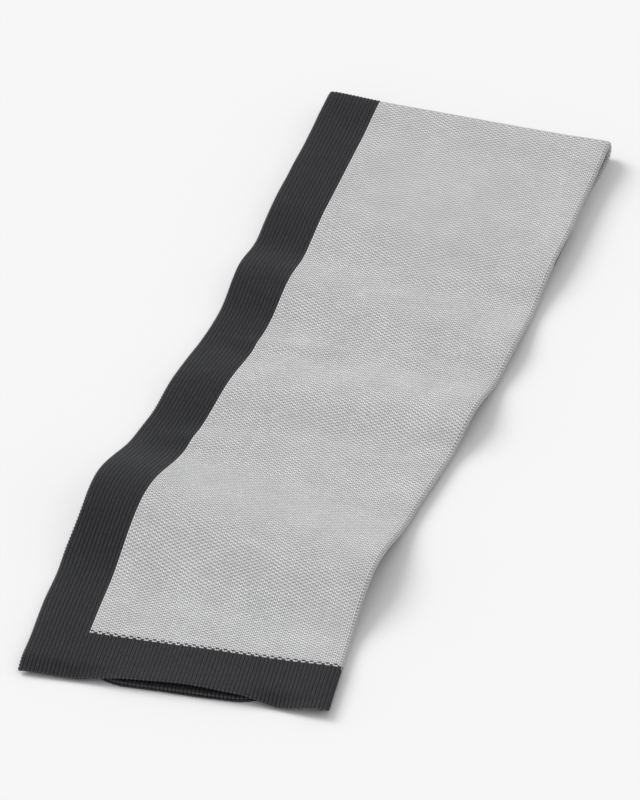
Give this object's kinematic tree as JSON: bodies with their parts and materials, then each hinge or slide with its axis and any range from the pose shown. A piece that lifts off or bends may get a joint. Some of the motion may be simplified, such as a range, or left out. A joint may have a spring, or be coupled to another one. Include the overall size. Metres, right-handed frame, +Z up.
{
  "type": "knit throw blanket",
  "caption": "Knit throw of light grey cloth with a dark border, folded lengthwise and lying flat, with soft ridges across it and its far end turned under.",
  "frame": {"origin": "middle of the throw's footprint, on the surface it lies on", "axes": "+X across the folded throw, from its open edge to its soft fold; +Y along it, from the near hem to the far bend; +Z up"},
  "size_m": [0.4744, 1.4212, 0.0543],
  "materials": {
    "knit_cotton": "matt cotton knit, light grey and white with a charcoal border"
  },
  "bodies": {
    "root": {"throw": "knit_cotton"}
  },
  "joints": []
}
